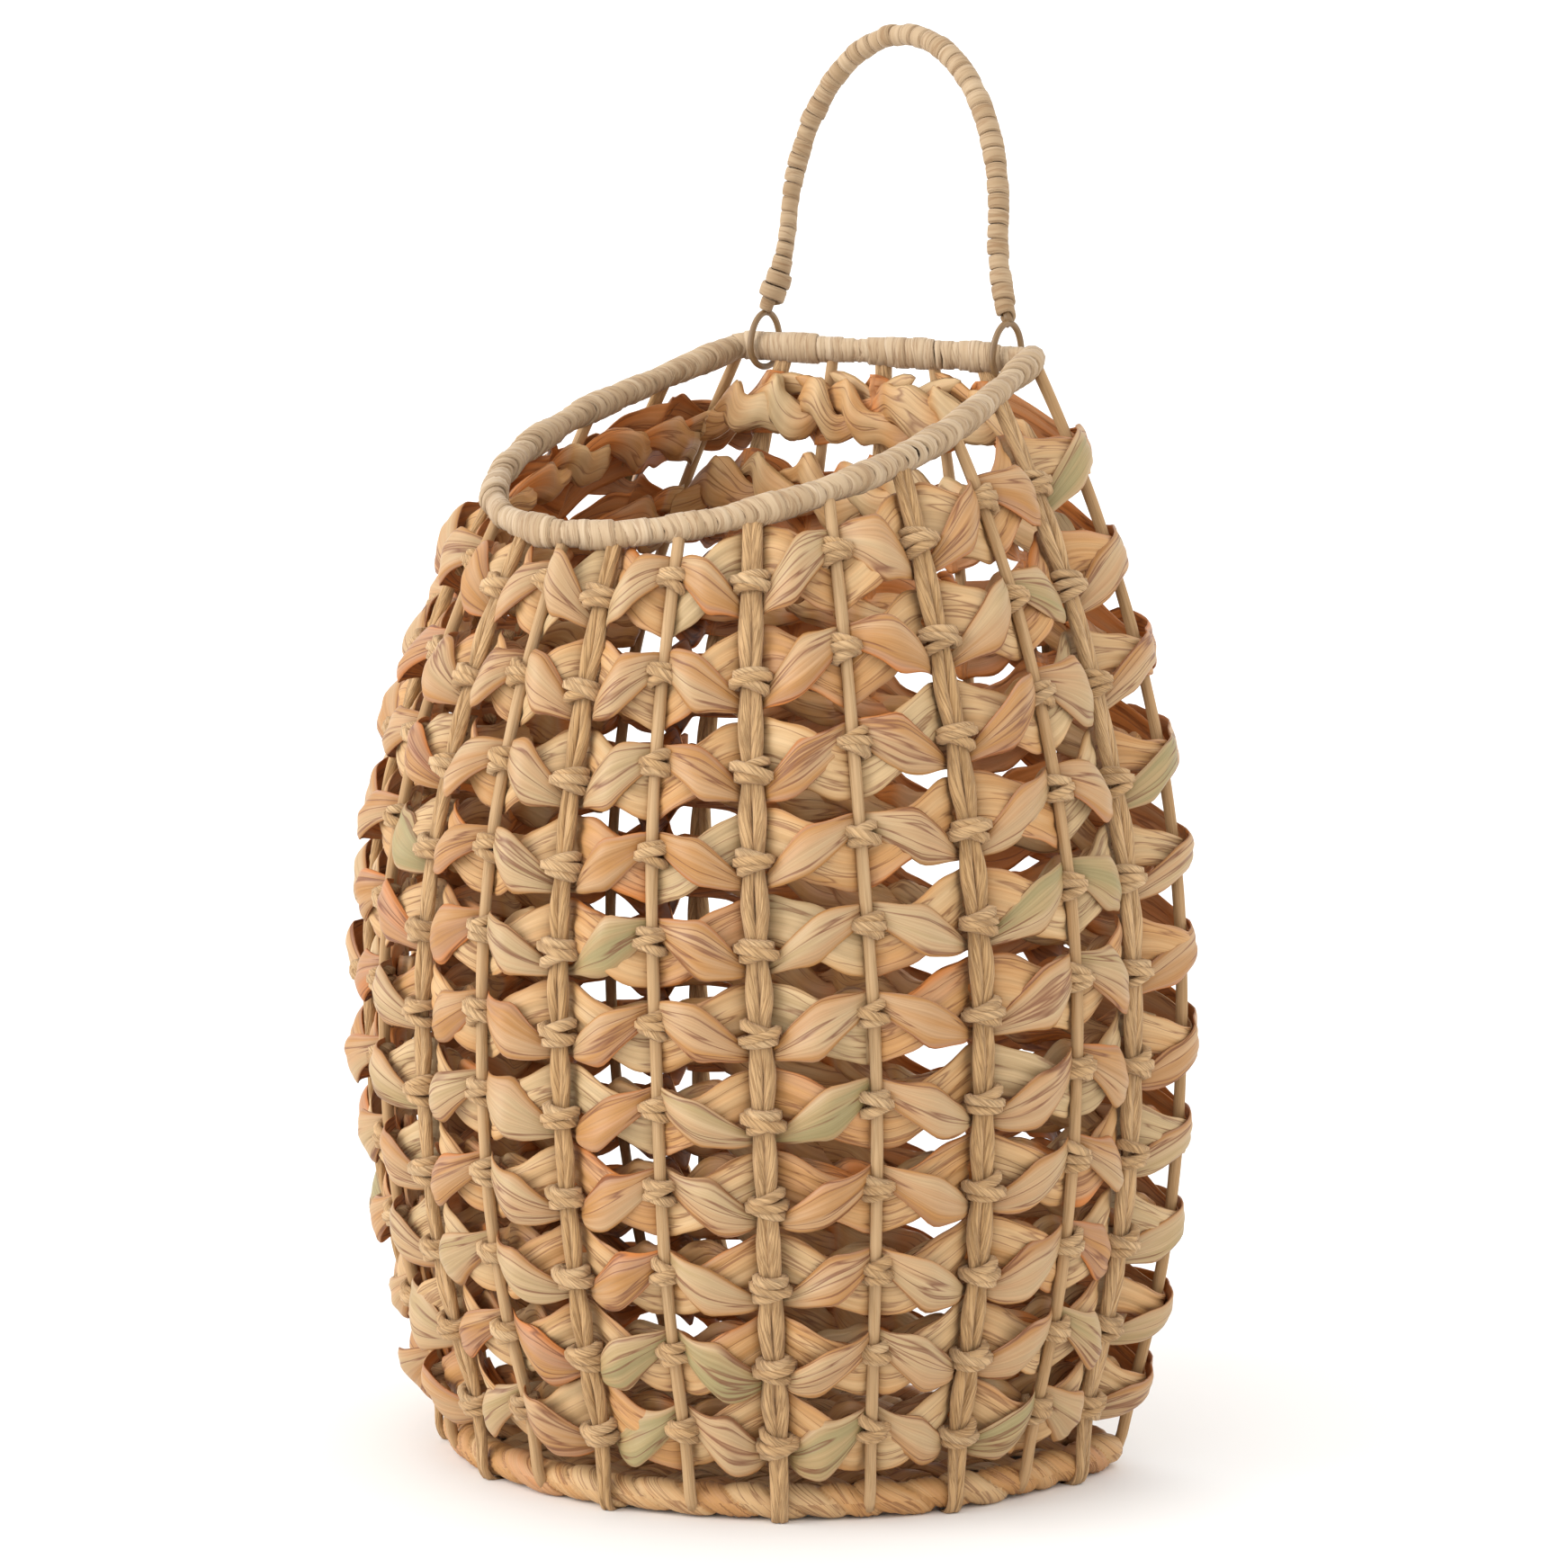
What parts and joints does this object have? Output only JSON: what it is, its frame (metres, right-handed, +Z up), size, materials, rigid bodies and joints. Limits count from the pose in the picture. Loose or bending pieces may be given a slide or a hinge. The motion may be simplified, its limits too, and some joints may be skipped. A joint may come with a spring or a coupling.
{
  "type": "wall basket",
  "caption": "Flat-backed woven leaf basket on a wire frame with a slanted mouth, a round belly and a wound wire handle that swings on the straight back bar of the rim.",
  "frame": {"origin": "under the middle of the whole part, on the surface it stands on", "axes": "+Z up along the basket, -Y towards its rounded front and low lip, +Y towards the wall, X across it"},
  "size_m": [0.2956, 0.2082, 0.4939],
  "materials": {
    "wire": "bare drawn steel wire, dulled",
    "twine": "dry twisted leaf twine",
    "rod": "smooth paper-covered rod",
    "cord": "dry twisted leaf cord",
    "outer_leaf": "folded dry leaf with a faint sheen",
    "inner_leaf": "folded dry leaf in shade",
    "base_leaf": "broad dry leaf wound on the base ring",
    "floor_leaf": "flat woven dry leaf"
  },
  "bodies": {
    "basket": {"rim_wire": "wire", "rim_wrap": "twine", "base_wire": "wire", "base_wrap": "base_leaf", "floor_mat": "floor_leaf", "floor_wire_01": "wire", "floor_wire_02": "wire", "floor_wire_03": "wire", "stake_rod_01": "rod", "stake_rod_02": "rod", "stake_rod_03": "rod", "stake_rod_04": "rod", "stake_rod_05": "rod", "stake_rod_06": "rod", "stake_rod_07": "rod", "stake_rod_08": "rod", "stake_rod_09": "rod", "stake_rod_10": "rod", "stake_rod_11": "rod", "stake_cord_01": "cord", "stake_cord_02": "cord", "stake_cord_03": "cord", "stake_cord_04": "cord", "stake_cord_05": "cord", "stake_cord_06": "cord", "stake_cord_07": "cord", "stake_cord_08": "cord", "stake_cord_09": "cord", "stake_cord_10": "cord", "stake_cord_11": "cord", "leaf_outer_01": "outer_leaf", "leaf_outer_02": "outer_leaf", "leaf_outer_03": "outer_leaf", "leaf_outer_04": "outer_leaf", "leaf_outer_05": "outer_leaf", "leaf_outer_06": "outer_leaf", "leaf_outer_07": "outer_leaf", "leaf_outer_08": "outer_leaf", "leaf_outer_09": "outer_leaf", "leaf_outer_10": "outer_leaf", "leaf_outer_11": "outer_leaf", "leaf_inner_01": "inner_leaf", "leaf_inner_02": "inner_leaf", "leaf_inner_03": "inner_leaf", "leaf_inner_04": "inner_leaf", "leaf_inner_05": "inner_leaf", "leaf_inner_06": "inner_leaf", "leaf_inner_07": "inner_leaf", "leaf_inner_08": "inner_leaf", "leaf_inner_09": "inner_leaf", "leaf_inner_10": "inner_leaf", "leaf_inner_11": "inner_leaf"},
    "handle": {"handle_wire": "wire", "handle_winding": "twine"}
  },
  "joints": [
    {"name": "handle_swing", "type": "hinge", "parent": "basket", "child": "handle", "pos_m": [0, 0.09072, 0.38], "axis": [1, 0, 0], "range_deg": [-110, 120]}
  ]
}
